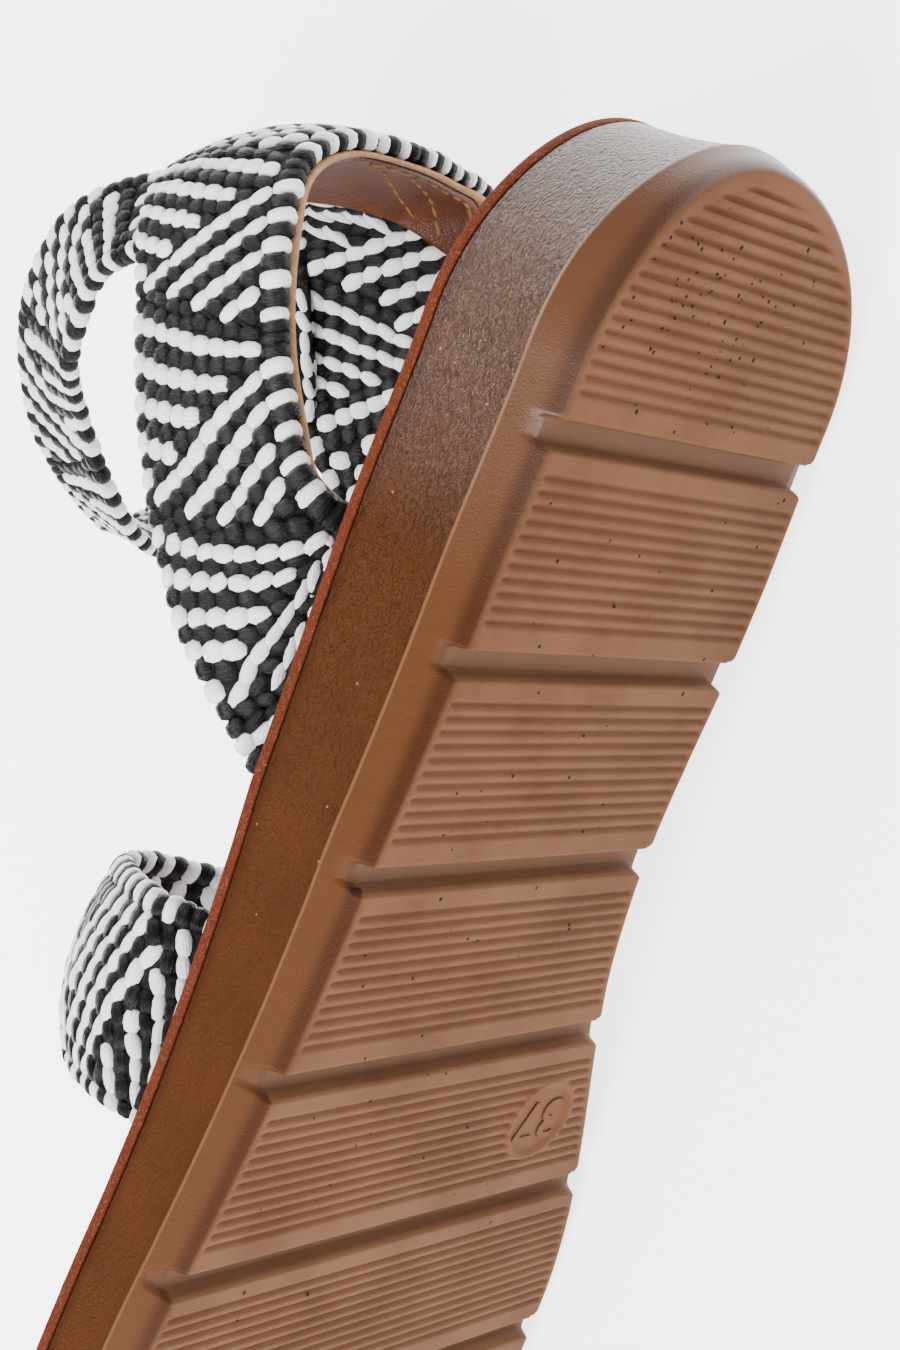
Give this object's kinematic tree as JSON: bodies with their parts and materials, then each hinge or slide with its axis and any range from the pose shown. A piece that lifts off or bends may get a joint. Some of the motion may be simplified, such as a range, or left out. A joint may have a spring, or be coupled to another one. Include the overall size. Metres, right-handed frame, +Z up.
{
  "type": "double strap sandal",
  "caption": "Flat left sandal with woven straps over toes and midfoot, a woven heel and ankle strap, an insole and a grooved moulded sole.",
  "frame": {"origin": "middle of the bounding box at the floor that the sandal lies on", "axes": "+Y from the heel to the toe, +Z up from the inner side to the outer side, +X from the tread to the straps"},
  "size_m": [0.1196, 0.248, 0.088],
  "materials": {
    "sole": "moulded polyurethane, grained side wall, matte ribbed tread",
    "insole": "smooth tan leather with a raw fibrous edge",
    "weave": "glossy black and white raffia weave with rolled selvages",
    "lining": "semi-gloss brown leather with tan stitches"
  },
  "bodies": {
    "root": {"sole": "sole", "insole": "insole", "heel_strap": "weave", "midfoot_strap": "weave", "toe_strap": "weave", "heel_lining": "lining"}
  },
  "joints": []
}
